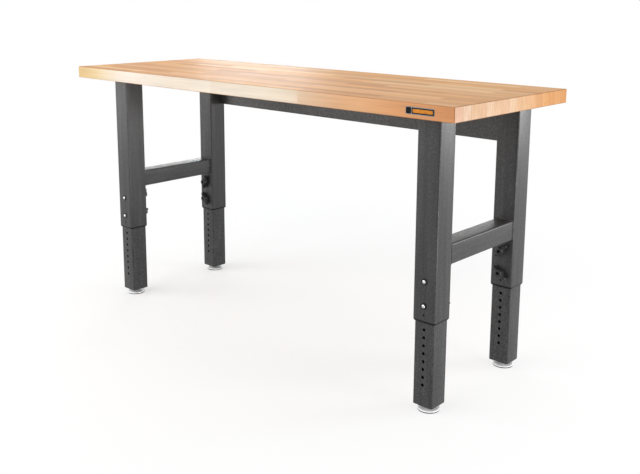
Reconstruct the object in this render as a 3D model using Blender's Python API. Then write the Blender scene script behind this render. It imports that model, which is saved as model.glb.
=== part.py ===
# Height-adjustable workbench: a wooden slab on four telescopic square legs.
# Units are metres, +Z is up, +X runs along the bench to the viewer's right and +Y to its back.
# The origin is on the floor below the middle of the slab.
import math

import bmesh
import bpy
from mathutils import Matrix, Vector

# Wooden slab
WORKTOP_LENGTH = 1.8288
WORKTOP_DEPTH = 0.635
WORKTOP_THICKNESS = 0.04445
WORKTOP_EDGE_ROUND = 0.002

# Height of the top surface: the lowest setting, and what the legs and feet add to it here
LOWEST_TOP_HEIGHT = 0.6985
HOLE_PITCH = 0.0254
PITCHES_RAISED = 10
FOOT_SCREWED_OUT = 0.012

# Clearances
TOUCH_GAP = 0.0003
SLIDE_CLEARANCE = 0.0013
HOLE_CLEARANCE = 0.0005

# Upper tubes, fixed to the slab; the insets are from the slab's edges to the tubes' faces
UPPER_TUBE_WIDTH = 0.081
UPPER_TUBE_WALL = 0.0032
UPPER_TUBE_CORNER = 0.0065
UPPER_TUBE_END_ROUND = 0.0025
UPPER_TUBE_BELOW_BOLT = 0.0535
SPARE_HOLE_BELOW_BOLT = 0.0285
SPARE_HOLE_DIAMETER = 0.0065
LEG_END_INSET = 0.1094
LEG_FRONT_INSET = 0.0965
LEG_BACK_INSET = 0.0175

# Lower tubes, which slide in the upper ones and have a row of holes front and back
LOWER_TUBE_WALL = 0.003
LOWER_TUBE_CORNER = 0.006
LOWER_TUBE_HOLES = 16
FIRST_HOLE_HEIGHT = 0.069
LAST_HOLE_MARGIN = 0.030

# Plugs in the lower tubes' ends, and the levelling feet screwed into them
PLUG_HEIGHT = 0.020
PLUG_EDGE_ROUND = 0.001
FOOT_PAD_DIAMETER = 0.070
FOOT_PAD_SPACE = 0.009
FOOT_PAD_RIM_HEIGHT = 0.0065
FOOT_PAD_EDGE = 0.0025
FOOT_PAD_FLOOR = 0.0022
FOOT_STUD_DIAMETER = 0.012
FOOT_STUD_IN_TUBE = 0.041

# Bolts through both tubes of a leg
BOLT_DIAMETER = 0.0095
BOLT_HEAD_DIAMETER = 0.021
BOLT_HEAD_HEIGHT = 0.0055
BOLT_HEAD_RIM = 0.0012
BOLT_SPACING_PITCHES = 3
BOLT_END_RECESS = 0.002

# Wing knobs on the bolts' ends
KNOB_HUB_DIAMETER = 0.028
KNOB_HUB_TAPER = 0.0015
KNOB_HUB_LENGTH = 0.024
KNOB_WING_SPAN = 0.064
KNOB_WING_DEPTH = 0.018
KNOB_WING_THICKNESS = 0.009
KNOB_WING_BASE = 0.001
KNOB_WING_CORNER = 0.007
KNOB_EDGE_ROUND = 0.0015

# How far each knob is turned, in degrees from lying level
KNOB_TURNS = {
    ("front", "left", "lower"): 35.0,
    ("front", "left", "upper"): 60.0,
    ("front", "right", "lower"): -20.0,
    ("front", "right", "upper"): 70.0,
    ("rear", "left", "lower"): -58.0,
    ("rear", "left", "upper"): 76.0,
    ("rear", "right", "lower"): -38.0,
    ("rear", "right", "upper"): 45.0,
}

# Square bars between the front and rear upper tubes
CROSSBAR_WIDTH = 0.065
CROSSBAR_WALL = 0.0025
CROSSBAR_CORNER = 0.005
CROSSBAR_FACE_INSET = 0.003
CROSSBAR_ABOVE_BOLT = 0.0418

# Plates on the upper tubes, screwed to the slab
PLATE_THICKNESS = 0.005
PLATE_REACH = 0.050
PLATE_EDGE_ROUND = 0.001
SCREW_DIAMETER = 0.006
SCREW_DEPTH_IN_WOOD = 0.028
SCREW_HOLE_SPARE_DEPTH = 0.002
SCREW_HEAD_DIAMETER = 0.011
SCREW_HEAD_HEIGHT = 0.004
SCREW_SPACING = 0.030
SCREW_ROW_OFFSET = 0.010

# Channel between the rear upper tubes, its brackets and their bolts
BEAM_HEIGHT = 0.140
BEAM_DEPTH = 0.020
BEAM_SHEET = 0.0025
BEAM_BEND = 0.003
BEAM_BACK_INSET = 0.002
BRACKET_SHEET = 0.003
BRACKET_HEIGHT = 0.105
BRACKET_REACH = 0.050
BRACKET_EDGE_INSET = 0.001
BRACKET_BOLT_DIAMETER = 0.006
BRACKET_BOLT_SPACING = 0.066
BRACKET_BOLT_IN_TUBE = 0.010
BRACKET_HEAD_DIAMETER = 0.011
BRACKET_HEAD_HEIGHT = 0.004

# Bare plate on the slab's front edge
BADGE_LENGTH = 0.097
BADGE_HEIGHT = 0.0215
BADGE_THICKNESS = 0.0012
BADGE_CORNER = 0.003
BADGE_END_INSET = 0.065

# Facets of round pieces
CORNER_STEPS = 2
ROUND_STEPS = 16
PAD_STEPS = 32
HOLE_STEPS = 8
SCREW_STEPS = 8
HEX_STEPS = 6
DOME_STEPS = 3
SMOOTH_ANGLE = 35.0


def hole_for(diameter, clearance):
    """The diameter over the corners of a faceted hole whose flats clear a round pin."""
    return (diameter + 2 * clearance) / math.cos(math.pi / HOLE_STEPS)


# Places worked out from the sizes above
TOP_HEIGHT = LOWEST_TOP_HEIGHT + PITCHES_RAISED * HOLE_PITCH + FOOT_SCREWED_OUT
SLAB_UNDERSIDE = TOP_HEIGHT - WORKTOP_THICKNESS
PLATE_TOP = SLAB_UNDERSIDE - TOUCH_GAP
PLATE_BOTTOM = PLATE_TOP - PLATE_THICKNESS
UPPER_TUBE_TOP = PLATE_BOTTOM - TOUCH_GAP
LOWER_TUBE_BOTTOM = FOOT_PAD_SPACE + FOOT_SCREWED_OUT
LOWER_BOLT_HEIGHT = LOWER_TUBE_BOTTOM + FIRST_HOLE_HEIGHT + PITCHES_RAISED * HOLE_PITCH
BOLT_HEIGHTS = {
    "lower": LOWER_BOLT_HEIGHT,
    "upper": LOWER_BOLT_HEIGHT + BOLT_SPACING_PITCHES * HOLE_PITCH,
}
UPPER_TUBE_BOTTOM = LOWER_BOLT_HEIGHT - UPPER_TUBE_BELOW_BOLT
SPARE_HOLE_HEIGHT = LOWER_BOLT_HEIGHT - SPARE_HOLE_BELOW_BOLT
LOWER_TUBE_WIDTH = UPPER_TUBE_WIDTH - 2 * (UPPER_TUBE_WALL + SLIDE_CLEARANCE)
LOWER_TUBE_LENGTH = FIRST_HOLE_HEIGHT + (LOWER_TUBE_HOLES - 1) * HOLE_PITCH + LAST_HOLE_MARGIN
BOLT_HOLE_DIAMETER = hole_for(BOLT_DIAMETER, HOLE_CLEARANCE)
BOLT_LENGTH = UPPER_TUBE_WIDTH + 2 * TOUCH_GAP + KNOB_HUB_LENGTH - BOLT_END_RECESS
CROSSBAR_BOTTOM = BOLT_HEIGHTS["upper"] + CROSSBAR_ABOVE_BOLT

LEG_X = WORKTOP_LENGTH / 2 - LEG_END_INSET - UPPER_TUBE_WIDTH / 2
LEG_Y = {
    "front": -WORKTOP_DEPTH / 2 + LEG_FRONT_INSET + UPPER_TUBE_WIDTH / 2,
    "rear": WORKTOP_DEPTH / 2 - LEG_BACK_INSET - UPPER_TUBE_WIDTH / 2,
}
LEG_INNER_X = LEG_X - UPPER_TUBE_WIDTH / 2

BEAM_TOP = PLATE_BOTTOM - TOUCH_GAP
BEAM_BACK = LEG_Y["rear"] + UPPER_TUBE_WIDTH / 2 - BEAM_BACK_INSET
BEAM_FRONT = BEAM_BACK - BEAM_DEPTH
BRACKET_FRONT = BEAM_FRONT + BEAM_SHEET + TOUCH_GAP
BRACKET_BACK = BEAM_BACK - BRACKET_EDGE_INSET
BRACKET_BOLT_Y = (BRACKET_FRONT + BRACKET_SHEET + BRACKET_BACK) / 2
BRACKET_MIDDLE_HEIGHT = BEAM_TOP - BEAM_HEIGHT / 2

SIDES = {"left": -1, "right": 1}
ROWS = {"front": -1, "rear": 1}
LEVELS = ("lower", "upper")


def clear_scene():
    for item in list(bpy.data.objects):
        bpy.data.objects.remove(item, do_unlink=True)


def make_material(name, colour, roughness, metallic):
    material = bpy.data.materials.new(name)
    material.use_nodes = True
    shader = material.node_tree.nodes["Principled BSDF"]
    shader.inputs["Base Color"].default_value = (*colour, 1.0)
    shader.inputs["Roughness"].default_value = roughness
    shader.inputs["Metallic"].default_value = metallic
    return material


def make_object(name, mesh, material, location=(0.0, 0.0, 0.0), rotation=(0.0, 0.0, 0.0)):
    piece = bpy.data.objects.new(name, mesh)
    bpy.context.scene.collection.objects.link(piece)
    piece.location = location
    piece.rotation_euler = rotation
    if material and not mesh.materials:
        mesh.materials.append(material)
    return piece


def mesh_from(bm, name, smooth=False):
    """Write a bmesh to a new mesh with its faces pointing out."""
    bmesh.ops.recalc_face_normals(bm, faces=bm.faces[:])
    mesh = bpy.data.meshes.new(name)
    bm.to_mesh(mesh)
    bm.free()
    if smooth:
        mesh.shade_smooth()
        mesh.set_sharp_from_angle(angle=math.radians(SMOOTH_ANGLE))
    return mesh


def rounded_rectangle(width, depth, corner):
    """Points round a rectangle with round corners, counter-clockwise about the middle."""
    points = []
    for quarter, (sign_x, sign_y) in enumerate(((1, 1), (-1, 1), (-1, -1), (1, -1))):
        centre_x = sign_x * (width / 2 - corner)
        centre_y = sign_y * (depth / 2 - corner)
        for step in range(CORNER_STEPS + 1):
            angle = math.pi / 2 * (quarter + step / CORNER_STEPS)
            points.append((centre_x + corner * math.cos(angle), centre_y + corner * math.sin(angle)))
    return points


def join_rings(bm, rings, closed):
    """Put quads between each ring of vertices and the next, and from the last to the first if closed."""
    pairs = list(zip(rings, rings[1:]))
    if closed:
        pairs.append((rings[-1], rings[0]))
    for ring, following in pairs:
        for index in range(len(ring)):
            after = (index + 1) % len(ring)
            bm.faces.new((ring[index], ring[after], following[after], following[index]))


def square_tube_mesh(name, width, wall, corner, length, end_round=0.0):
    """A square tube along +Z from z = 0; its outer edge at z = 0 is rounded by end_round."""
    bm = bmesh.new()
    inner = width - 2 * wall
    levels = []
    if end_round > 0.0:
        for step in range(CORNER_STEPS + 1):
            angle = math.pi / 2 * step / CORNER_STEPS
            levels.append((end_round * (1 - math.sin(angle)), end_round * (1 - math.cos(angle))))
    else:
        levels.append((0.0, 0.0))
    levels.append((0.0, length))
    rings = []
    for inset, height in levels:
        outline = rounded_rectangle(width - 2 * inset, width - 2 * inset, corner - inset)
        rings.append([bm.verts.new((x, y, height)) for x, y in outline])
    for height in (length, 0.0):
        outline = rounded_rectangle(inner, inner, max(corner - wall, wall / 2))
        rings.append([bm.verts.new((x, y, height)) for x, y in outline])
    join_rings(bm, rings, closed=True)
    return mesh_from(bm, name)


def turned_mesh(name, profile, steps):
    """Turn (radius, height) points about Z; a point on the axis closes the end it is at."""
    bm = bmesh.new()
    rings = []
    for radius, height in profile:
        if radius == 0.0:
            rings.append([bm.verts.new((0.0, 0.0, height))])
            continue
        ring = []
        for step in range(steps):
            angle = 2 * math.pi * (step + 0.5) / steps
            ring.append(bm.verts.new((radius * math.cos(angle), radius * math.sin(angle), height)))
        rings.append(ring)
    for ring, following in zip(rings, rings[1:]):
        if len(ring) == 1:
            for index in range(steps):
                bm.faces.new((ring[0], following[(index + 1) % steps], following[index]))
        elif len(following) == 1:
            for index in range(steps):
                bm.faces.new((ring[index], ring[(index + 1) % steps], following[0]))
        else:
            join_rings(bm, [ring, following], closed=False)
    return mesh_from(bm, name, smooth=True)


def extruded_mesh(name, outline, start, end):
    """A prism of the outline's (x, y) points between two heights on Z."""
    bm = bmesh.new()
    lower = [bm.verts.new((x, y, start)) for x, y in outline]
    upper = [bm.verts.new((x, y, end)) for x, y in outline]
    bm.faces.new(lower)
    bm.faces.new(upper)
    join_rings(bm, [lower, upper], closed=False)
    return mesh_from(bm, name)


def box_mesh(name, low, high):
    """A box between two corners."""
    low = Vector(low)
    high = Vector(high)
    bm = bmesh.new()
    bmesh.ops.create_cube(bm, size=1.0)
    bmesh.ops.scale(bm, verts=bm.verts[:], vec=high - low)
    bmesh.ops.translate(bm, verts=bm.verts[:], vec=(low + high) / 2)
    return mesh_from(bm, name)


def add_bevel(piece, width, segments=1):
    bevel = piece.modifiers.new("round_edges", "BEVEL")
    bevel.width = width
    bevel.segments = segments
    bevel.limit_method = "ANGLE"


def add_boolean(piece, other, operation):
    """Join or cut with another object, which stays as a hidden guide."""
    boolean = piece.modifiers.new(operation.lower(), "BOOLEAN")
    boolean.operation = operation
    boolean.solver = "EXACT"
    boolean.object = other
    other.hide_render = True
    other.display_type = "WIRE"


def drill(piece, holes):
    """Cut round holes, each given by its middle, its axis, its diameter and its length."""
    bm = bmesh.new()
    for middle, axis, diameter, length in holes:
        turn = Vector((0.0, 0.0, 1.0)).rotation_difference(Vector(axis)).to_matrix().to_4x4()
        half_step = Matrix.Rotation(math.pi / HOLE_STEPS, 4, "Z")
        bmesh.ops.create_cone(
            bm, cap_ends=True, segments=HOLE_STEPS, radius1=diameter / 2, radius2=diameter / 2,
            depth=length, matrix=Matrix.Translation(middle) @ turn @ half_step)
    cutter = make_object(piece.name + "_holes", mesh_from(bm, piece.name + "_holes"), None)
    add_boolean(piece, cutter, "DIFFERENCE")


def baked_mesh(piece):
    """Return the piece's mesh with its modifiers applied, and remove the piece and its guides."""
    guides = [modifier.object for modifier in piece.modifiers if modifier.type == "BOOLEAN"]
    evaluated = piece.evaluated_get(bpy.context.evaluated_depsgraph_get())
    mesh = bpy.data.meshes.new_from_object(evaluated)
    for item in [piece, *guides]:
        bpy.data.objects.remove(item, do_unlink=True)
    return mesh


def plate_screw_places():
    """Yield the name, side and place of each screw that holds a top plate to the slab."""
    x = LEG_INNER_X - PLATE_REACH / 2
    for row, row_sign in ROWS.items():
        middle = LEG_Y[row] - row_sign * SCREW_ROW_OFFSET
        for side, side_sign in SIDES.items():
            for place, place_sign in (("a", -1), ("b", 1)):
                y = middle + place_sign * SCREW_SPACING / 2
                yield f"plate_screw_{row}_{side}_{place}", (side_sign * x, y)


def build_worktop(material):
    low = (-WORKTOP_LENGTH / 2, -WORKTOP_DEPTH / 2, SLAB_UNDERSIDE)
    high = (WORKTOP_LENGTH / 2, WORKTOP_DEPTH / 2, TOP_HEIGHT)
    worktop = make_object("worktop", box_mesh("worktop", low, high), material)
    add_bevel(worktop, WORKTOP_EDGE_ROUND, 2)
    depth = SCREW_DEPTH_IN_WOOD + SCREW_HOLE_SPARE_DEPTH
    diameter = hole_for(SCREW_DIAMETER, TOUCH_GAP)
    holes = []
    for name, (x, y) in plate_screw_places():
        holes.append(((x, y, SLAB_UNDERSIDE), (0.0, 0.0, 1.0), diameter, 2 * depth))
    drill(worktop, holes)


def build_upper_tubes(material):
    length = UPPER_TUBE_TOP - UPPER_TUBE_BOTTOM
    for row in ROWS:
        for side, side_sign in SIDES.items():
            mesh = square_tube_mesh(
                "upper_tube", UPPER_TUBE_WIDTH, UPPER_TUBE_WALL, UPPER_TUBE_CORNER, length,
                UPPER_TUBE_END_ROUND)
            x = side_sign * LEG_X
            y = LEG_Y[row]
            tube = make_object(f"upper_tube_{row}_{side}", mesh, material, (x, y, UPPER_TUBE_BOTTOM))
            through = 2 * UPPER_TUBE_WIDTH
            holes = []
            for height in BOLT_HEIGHTS.values():
                holes.append(((x, y, height), (0.0, 1.0, 0.0), BOLT_HOLE_DIAMETER, through))
            holes.append(((x, y, SPARE_HOLE_HEIGHT), (0.0, 1.0, 0.0), SPARE_HOLE_DIAMETER, through))
            if row == "rear":
                diameter = hole_for(BRACKET_BOLT_DIAMETER, TOUCH_GAP)
                for height in bracket_bolt_heights().values():
                    middle = (side_sign * LEG_INNER_X, BRACKET_BOLT_Y, height)
                    holes.append((middle, (1.0, 0.0, 0.0), diameter, 4 * UPPER_TUBE_WALL))
            drill(tube, holes)


def build_lower_tubes(material):
    mesh = square_tube_mesh(
        "lower_tube", LOWER_TUBE_WIDTH, LOWER_TUBE_WALL, LOWER_TUBE_CORNER, LOWER_TUBE_LENGTH)
    pattern = make_object("lower_tube_pattern", mesh, material)
    holes = []
    for index in range(LOWER_TUBE_HOLES):
        height = FIRST_HOLE_HEIGHT + index * HOLE_PITCH
        holes.append(((0.0, 0.0, height), (0.0, 1.0, 0.0), BOLT_HOLE_DIAMETER, 2 * LOWER_TUBE_WIDTH))
    drill(pattern, holes)
    drilled = baked_mesh(pattern)
    for row in ROWS:
        for side, side_sign in SIDES.items():
            place = (side_sign * LEG_X, LEG_Y[row], LOWER_TUBE_BOTTOM)
            make_object(f"lower_tube_{row}_{side}", drilled, material, place)


def build_leg_plugs(material):
    width = LOWER_TUBE_WIDTH - 2 * (LOWER_TUBE_WALL + TOUCH_GAP)
    corner = max(LOWER_TUBE_CORNER - LOWER_TUBE_WALL, LOWER_TUBE_WALL / 2)
    outline = rounded_rectangle(width, width, corner)
    pattern = make_object("plug_pattern", extruded_mesh("leg_plug", outline, 0.0, PLUG_HEIGHT), material)
    add_bevel(pattern, PLUG_EDGE_ROUND)
    middle = (0.0, 0.0, PLUG_HEIGHT / 2)
    drill(pattern, [(middle, (0.0, 0.0, 1.0), hole_for(FOOT_STUD_DIAMETER, HOLE_CLEARANCE), 2 * PLUG_HEIGHT)])
    plug = baked_mesh(pattern)
    for row in ROWS:
        for side, side_sign in SIDES.items():
            place = (side_sign * LEG_X, LEG_Y[row], LOWER_TUBE_BOTTOM)
            make_object(f"leg_plug_{row}_{side}", plug, material, place)


def build_feet(material):
    pad_radius = FOOT_PAD_DIAMETER / 2
    pad_top = FOOT_PAD_SPACE - TOUCH_GAP
    socket_radius = FOOT_STUD_DIAMETER / 2 + TOUCH_GAP
    pad = turned_mesh("foot_pad", [
        (0.0, 0.0),
        (pad_radius - FOOT_PAD_EDGE / 2, 0.0),
        (pad_radius, FOOT_PAD_EDGE / 2),
        (pad_radius, FOOT_PAD_RIM_HEIGHT),
        (pad_radius - FOOT_PAD_EDGE, pad_top),
        (socket_radius, pad_top),
        (socket_radius, FOOT_PAD_FLOOR),
        (0.0, FOOT_PAD_FLOOR),
    ], PAD_STEPS)
    stud_radius = FOOT_STUD_DIAMETER / 2
    stud_bottom = FOOT_PAD_FLOOR + TOUCH_GAP
    stud_top = LOWER_TUBE_BOTTOM + FOOT_STUD_IN_TUBE
    chamfer = stud_radius / 4
    stud = turned_mesh("foot_stud", [
        (0.0, stud_bottom),
        (stud_radius, stud_bottom),
        (stud_radius, stud_top - chamfer),
        (stud_radius - chamfer, stud_top),
        (0.0, stud_top),
    ], ROUND_STEPS)
    for row in ROWS:
        for side, side_sign in SIDES.items():
            place = (side_sign * LEG_X, LEG_Y[row], 0.0)
            make_object(f"foot_pad_{row}_{side}", pad, material, place)
            make_object(f"foot_stud_{row}_{side}", stud, material, place)


def bolt_mesh():
    """A round-headed bolt along +Z, with the underside of its head at z = 0."""
    head_radius = BOLT_HEAD_DIAMETER / 2
    radius = BOLT_DIAMETER / 2
    dome = BOLT_HEAD_HEIGHT - BOLT_HEAD_RIM
    chamfer = radius / 5
    profile = [(0.0, -BOLT_HEAD_HEIGHT)]
    for step in range(1, DOME_STEPS + 1):
        angle = math.pi / 2 * step / DOME_STEPS
        profile.append((head_radius * math.sin(angle), -BOLT_HEAD_RIM - dome * math.cos(angle)))
    profile += [
        (head_radius, 0.0),
        (radius, 0.0),
        (radius, BOLT_LENGTH - chamfer),
        (radius - chamfer, BOLT_LENGTH),
        (0.0, BOLT_LENGTH),
    ]
    return turned_mesh("leg_bolt", profile, ROUND_STEPS)


def knob_mesh():
    """A wing knob along +Z, with its base at z = 0 and its wings along X."""
    radius = KNOB_HUB_DIAMETER / 2
    top_radius = radius - KNOB_HUB_TAPER
    hub = turned_mesh("knob", [
        (0.0, 0.0),
        (radius, 0.0),
        (top_radius, KNOB_HUB_LENGTH - KNOB_EDGE_ROUND),
        (top_radius - KNOB_EDGE_ROUND, KNOB_HUB_LENGTH),
        (0.0, KNOB_HUB_LENGTH),
    ], ROUND_STEPS)
    pattern = make_object("knob_pattern", hub, None)
    middle_height = KNOB_WING_BASE + KNOB_WING_DEPTH / 2
    outline = rounded_rectangle(KNOB_WING_SPAN, KNOB_WING_DEPTH, KNOB_WING_CORNER)
    half = KNOB_WING_THICKNESS / 2
    wings = make_object(
        "knob_wings", extruded_mesh("knob_wings", outline, -half, half), None,
        (0.0, 0.0, middle_height), (math.pi / 2, 0.0, 0.0))
    add_bevel(wings, KNOB_EDGE_ROUND)
    add_boolean(pattern, wings, "UNION")
    middle = (0.0, 0.0, KNOB_HUB_LENGTH / 2)
    drill(pattern, [(middle, (0.0, 0.0, 1.0), BOLT_HOLE_DIAMETER, 2 * KNOB_HUB_LENGTH)])
    return baked_mesh(pattern)


def build_bolts_and_knobs(bolt_material, knob_material):
    """Each bolt's head is on the outer face of its leg, and its knob on the face towards the middle."""
    bolt = bolt_mesh()
    knob = knob_mesh()
    for row, row_sign in ROWS.items():
        quarter_turn = row_sign * math.pi / 2
        head_y = LEG_Y[row] + row_sign * (UPPER_TUBE_WIDTH / 2 + TOUCH_GAP)
        knob_y = LEG_Y[row] - row_sign * (UPPER_TUBE_WIDTH / 2 + TOUCH_GAP)
        for side, side_sign in SIDES.items():
            for level in LEVELS:
                x = side_sign * LEG_X
                height = BOLT_HEIGHTS[level]
                along = Matrix.Rotation(quarter_turn, 4, "X")
                bolt_piece = make_object(f"leg_bolt_{row}_{side}_{level}", bolt, bolt_material)
                bolt_piece.matrix_world = Matrix.Translation((x, head_y, height)) @ along
                turn = Matrix.Rotation(-math.radians(KNOB_TURNS[row, side, level]), 4, "Y")
                knob_piece = make_object(f"knob_{row}_{side}_{level}", knob, knob_material)
                knob_piece.matrix_world = Matrix.Translation((x, knob_y, height)) @ turn @ along


def build_crossbars(material):
    length = LEG_Y["rear"] - LEG_Y["front"] - UPPER_TUBE_WIDTH - 2 * TOUCH_GAP
    mesh = square_tube_mesh("crossbar", CROSSBAR_WIDTH, CROSSBAR_WALL, CROSSBAR_CORNER, length)
    start = LEG_Y["front"] + UPPER_TUBE_WIDTH / 2 + TOUCH_GAP
    x = LEG_X + UPPER_TUBE_WIDTH / 2 - CROSSBAR_FACE_INSET - CROSSBAR_WIDTH / 2
    height = CROSSBAR_BOTTOM + CROSSBAR_WIDTH / 2
    for side, side_sign in SIDES.items():
        place = (side_sign * x, start, height)
        make_object(f"crossbar_{side}", mesh, material, place, (-math.pi / 2, 0.0, 0.0))


def build_top_plates(material):
    screws = dict(plate_screw_places())
    outer = LEG_X + UPPER_TUBE_WIDTH / 2
    inner = LEG_INNER_X - PLATE_REACH
    for row in ROWS:
        for side, side_sign in SIDES.items():
            ends = sorted((side_sign * inner, side_sign * outer))
            low = (ends[0], LEG_Y[row] - UPPER_TUBE_WIDTH / 2, PLATE_BOTTOM)
            high = (ends[1], LEG_Y[row] + UPPER_TUBE_WIDTH / 2, PLATE_TOP)
            plate = make_object(f"top_plate_{row}_{side}", box_mesh("top_plate", low, high), material)
            add_bevel(plate, PLATE_EDGE_ROUND)
            holes = []
            for place in ("a", "b"):
                x, y = screws[f"plate_screw_{row}_{side}_{place}"]
                diameter = hole_for(SCREW_DIAMETER, TOUCH_GAP)
                holes.append(((x, y, PLATE_TOP), (0.0, 0.0, 1.0), diameter, 4 * PLATE_THICKNESS))
            drill(plate, holes)


def headed_pin_mesh(name, head_diameter, head_height, diameter, length):
    """A hexagon-headed pin along +Z, with the top of its head at z = 0."""
    bm = bmesh.new()
    bmesh.ops.create_cone(
        bm, cap_ends=True, segments=HEX_STEPS, radius1=head_diameter / 2, radius2=head_diameter / 2,
        depth=head_height, matrix=Matrix.Translation((0.0, 0.0, -head_height / 2)))
    head = make_object(name + "_pattern", mesh_from(bm, name), None)
    shank = make_object(name + "_shank", turned_mesh(name + "_shank", [
        (0.0, -head_height / 2),
        (diameter / 2, -head_height / 2),
        (diameter / 2, length - diameter / 2),
        (diameter / 4, length),
        (0.0, length),
    ], SCREW_STEPS), None)
    add_boolean(head, shank, "UNION")
    return baked_mesh(head)


def build_plate_screws(material):
    length = PLATE_THICKNESS + 2 * TOUCH_GAP + SCREW_DEPTH_IN_WOOD
    mesh = headed_pin_mesh("plate_screw", SCREW_HEAD_DIAMETER, SCREW_HEAD_HEIGHT, SCREW_DIAMETER, length)
    for name, (x, y) in plate_screw_places():
        make_object(name, mesh, material, (x, y, PLATE_BOTTOM - TOUCH_GAP))


def channel_outline():
    """The rear channel's section, with its web towards +Y's front and its flanges pointing back."""
    def corner(centre_y, centre_z, radius, start):
        points = []
        for step in range(CORNER_STEPS + 1):
            angle = math.radians(start + 90 * step / CORNER_STEPS)
            points.append((centre_y + radius * math.cos(angle), centre_z + radius * math.sin(angle)))
        return points

    bottom = BEAM_TOP - BEAM_HEIGHT
    inner_bend = BEAM_BEND / 2
    outer_bend = BEAM_BEND
    inner_front = BEAM_FRONT + BEAM_SHEET + inner_bend
    points = corner(BEAM_FRONT + outer_bend, bottom + outer_bend, outer_bend, 180)
    points += [(BEAM_BACK, bottom), (BEAM_BACK, bottom + BEAM_SHEET)]
    points += corner(inner_front, bottom + BEAM_SHEET + inner_bend, inner_bend, 180)[::-1]
    points += corner(inner_front, BEAM_TOP - BEAM_SHEET - inner_bend, inner_bend, 90)[::-1]
    points += [(BEAM_BACK, BEAM_TOP - BEAM_SHEET), (BEAM_BACK, BEAM_TOP)]
    points += corner(BEAM_FRONT + outer_bend, BEAM_TOP - outer_bend, outer_bend, 90)
    return points


def build_rear_beam(material):
    half = LEG_INNER_X - TOUCH_GAP
    mesh = extruded_mesh("rear_beam", channel_outline(), -half, half)
    # The section's own x and y become the world's Y and Z, and its height the world's X.
    beam = make_object("rear_beam", mesh, material)
    beam.matrix_world = Matrix(((0, 0, 1, 0), (1, 0, 0, 0), (0, 1, 0, 0), (0, 0, 0, 1)))


def bracket_bolt_heights():
    half = BRACKET_BOLT_SPACING / 2
    return {"lower": BRACKET_MIDDLE_HEIGHT - half, "upper": BRACKET_MIDDLE_HEIGHT + half}


def build_beam_brackets(material, bolt_material):
    bottom = BRACKET_MIDDLE_HEIGHT - BRACKET_HEIGHT / 2
    top = BRACKET_MIDDLE_HEIGHT + BRACKET_HEIGHT / 2
    # The side piece lies on the leg inside the channel, and the back piece lies on the channel's web.
    end = LEG_INNER_X - TOUCH_GAP
    fold = BRACKET_FRONT + BRACKET_SHEET
    shank = BRACKET_SHEET + 2 * TOUCH_GAP + UPPER_TUBE_WALL + BRACKET_BOLT_IN_TUBE
    bolt = headed_pin_mesh(
        "beam_bolt", BRACKET_HEAD_DIAMETER, BRACKET_HEAD_HEIGHT, BRACKET_BOLT_DIAMETER, shank)
    for side, side_sign in SIDES.items():
        outline = [
            (end - BRACKET_REACH, BRACKET_FRONT),
            (end, BRACKET_FRONT),
            (end, BRACKET_BACK),
            (end - BRACKET_SHEET, BRACKET_BACK),
            (end - BRACKET_SHEET, fold),
            (end - BRACKET_REACH, fold),
        ]
        placed = [(side_sign * x, y) for x, y in outline]
        bracket = make_object(
            f"beam_bracket_{side}", extruded_mesh("beam_bracket", placed, bottom, top), material)
        holes = []
        for level, height in bracket_bolt_heights().items():
            middle = (side_sign * end, BRACKET_BOLT_Y, height)
            diameter = hole_for(BRACKET_BOLT_DIAMETER, TOUCH_GAP)
            holes.append((middle, (1.0, 0.0, 0.0), diameter, 4 * BRACKET_SHEET))
            place = (side_sign * (end - BRACKET_SHEET - TOUCH_GAP), BRACKET_BOLT_Y, height)
            make_object(
                f"beam_bolt_{side}_{level}", bolt, bolt_material, place,
                (0.0, side_sign * math.pi / 2, 0.0))
        drill(bracket, holes)


def build_badge(material):
    outline = rounded_rectangle(BADGE_LENGTH, BADGE_HEIGHT, BADGE_CORNER)
    x = WORKTOP_LENGTH / 2 - BADGE_END_INSET - BADGE_LENGTH / 2
    y = -WORKTOP_DEPTH / 2 - TOUCH_GAP
    height = TOP_HEIGHT - WORKTOP_THICKNESS / 2
    mesh = extruded_mesh("badge_plate", outline, 0.0, BADGE_THICKNESS)
    make_object("badge_plate", mesh, material, (x, y, height), (math.pi / 2, 0.0, 0.0))


def build_workbench():
    clear_scene()
    wood = make_material("oiled_wood", (0.69, 0.45, 0.26), 0.45, 0.0)
    paint = make_material("dark_grey_paint", (0.085, 0.085, 0.088), 0.45, 0.3)
    bare_steel = make_material("zinc_steel", (0.72, 0.72, 0.74), 0.3, 1.0)
    black_plastic = make_material("black_plastic", (0.015, 0.015, 0.016), 0.4, 0.0)
    badge_finish = make_material("badge_metal", (0.12, 0.11, 0.11), 0.35, 0.5)
    build_worktop(wood)
    build_upper_tubes(paint)
    build_lower_tubes(paint)
    build_leg_plugs(black_plastic)
    build_feet(bare_steel)
    build_bolts_and_knobs(bare_steel, black_plastic)
    build_crossbars(paint)
    build_top_plates(paint)
    build_plate_screws(bare_steel)
    build_rear_beam(paint)
    build_beam_brackets(paint, bare_steel)
    build_badge(badge_finish)


build_workbench()
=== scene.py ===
# Looks of the height-adjustable workbench: finishes, fine surface shapes, floor, light and camera.
# Metres, +Z up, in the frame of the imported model. Colours are linear.
import math

import bmesh
import bpy
from mathutils import Matrix, Vector, noise as field


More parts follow.
